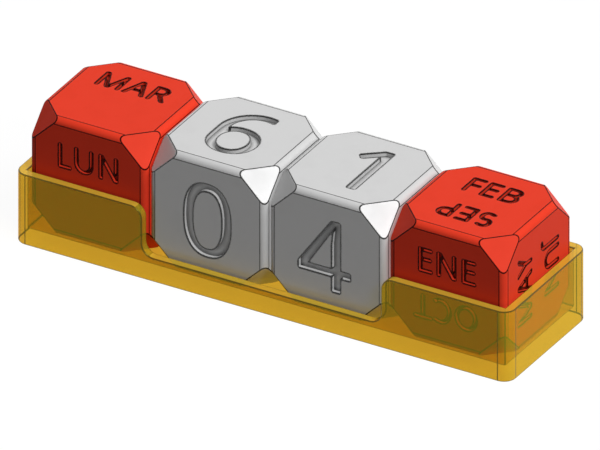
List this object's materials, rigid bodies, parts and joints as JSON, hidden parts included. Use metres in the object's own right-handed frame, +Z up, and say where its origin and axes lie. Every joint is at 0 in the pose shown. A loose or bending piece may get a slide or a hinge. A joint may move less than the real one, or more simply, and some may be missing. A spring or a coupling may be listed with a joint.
{
  "type": "perpetual calendar",
  "caption": "Perpetual desk calendar: rounded, corner-cut blocks with engraved digits stand in a see-through tray and lift out to be turned to the day wanted.",
  "frame": {"origin": "middle of the tray's underside, on the surface that the calendar stands on", "axes": "+X along the row of blocks, from the weekday block to the month block; -Y is the front, where the low stretch of the wall is; +Z up"},
  "size_m": [0.17, 0.047, 0.044],
  "materials": {
    "amber_tray": "see-through amber, cast and polished",
    "red_block": "satin red, moulded through",
    "grey_block": "satin light grey, moulded through"
  },
  "bodies": {
    "tray": {"tray": "amber_tray"},
    "weekday_block": {"weekday_block": "red_block"},
    "tens_block": {"tens_block": "grey_block"},
    "units_block": {"units_block": "grey_block"},
    "month_block": {"month_block": "red_block"}
  },
  "joints": [
    {"name": "weekday_block_lift", "type": "slide", "parent": "tray", "child": "weekday_block", "axis": [0, 0, 1], "range_m": [0, 0.05]},
    {"name": "tens_block_lift", "type": "slide", "parent": "tray", "child": "tens_block", "axis": [0, 0, 1], "range_m": [0, 0.05]},
    {"name": "units_block_lift", "type": "slide", "parent": "tray", "child": "units_block", "axis": [0, 0, 1], "range_m": [0, 0.05]},
    {"name": "month_block_lift", "type": "slide", "parent": "tray", "child": "month_block", "axis": [0, 0, 1], "range_m": [0, 0.05]}
  ]
}
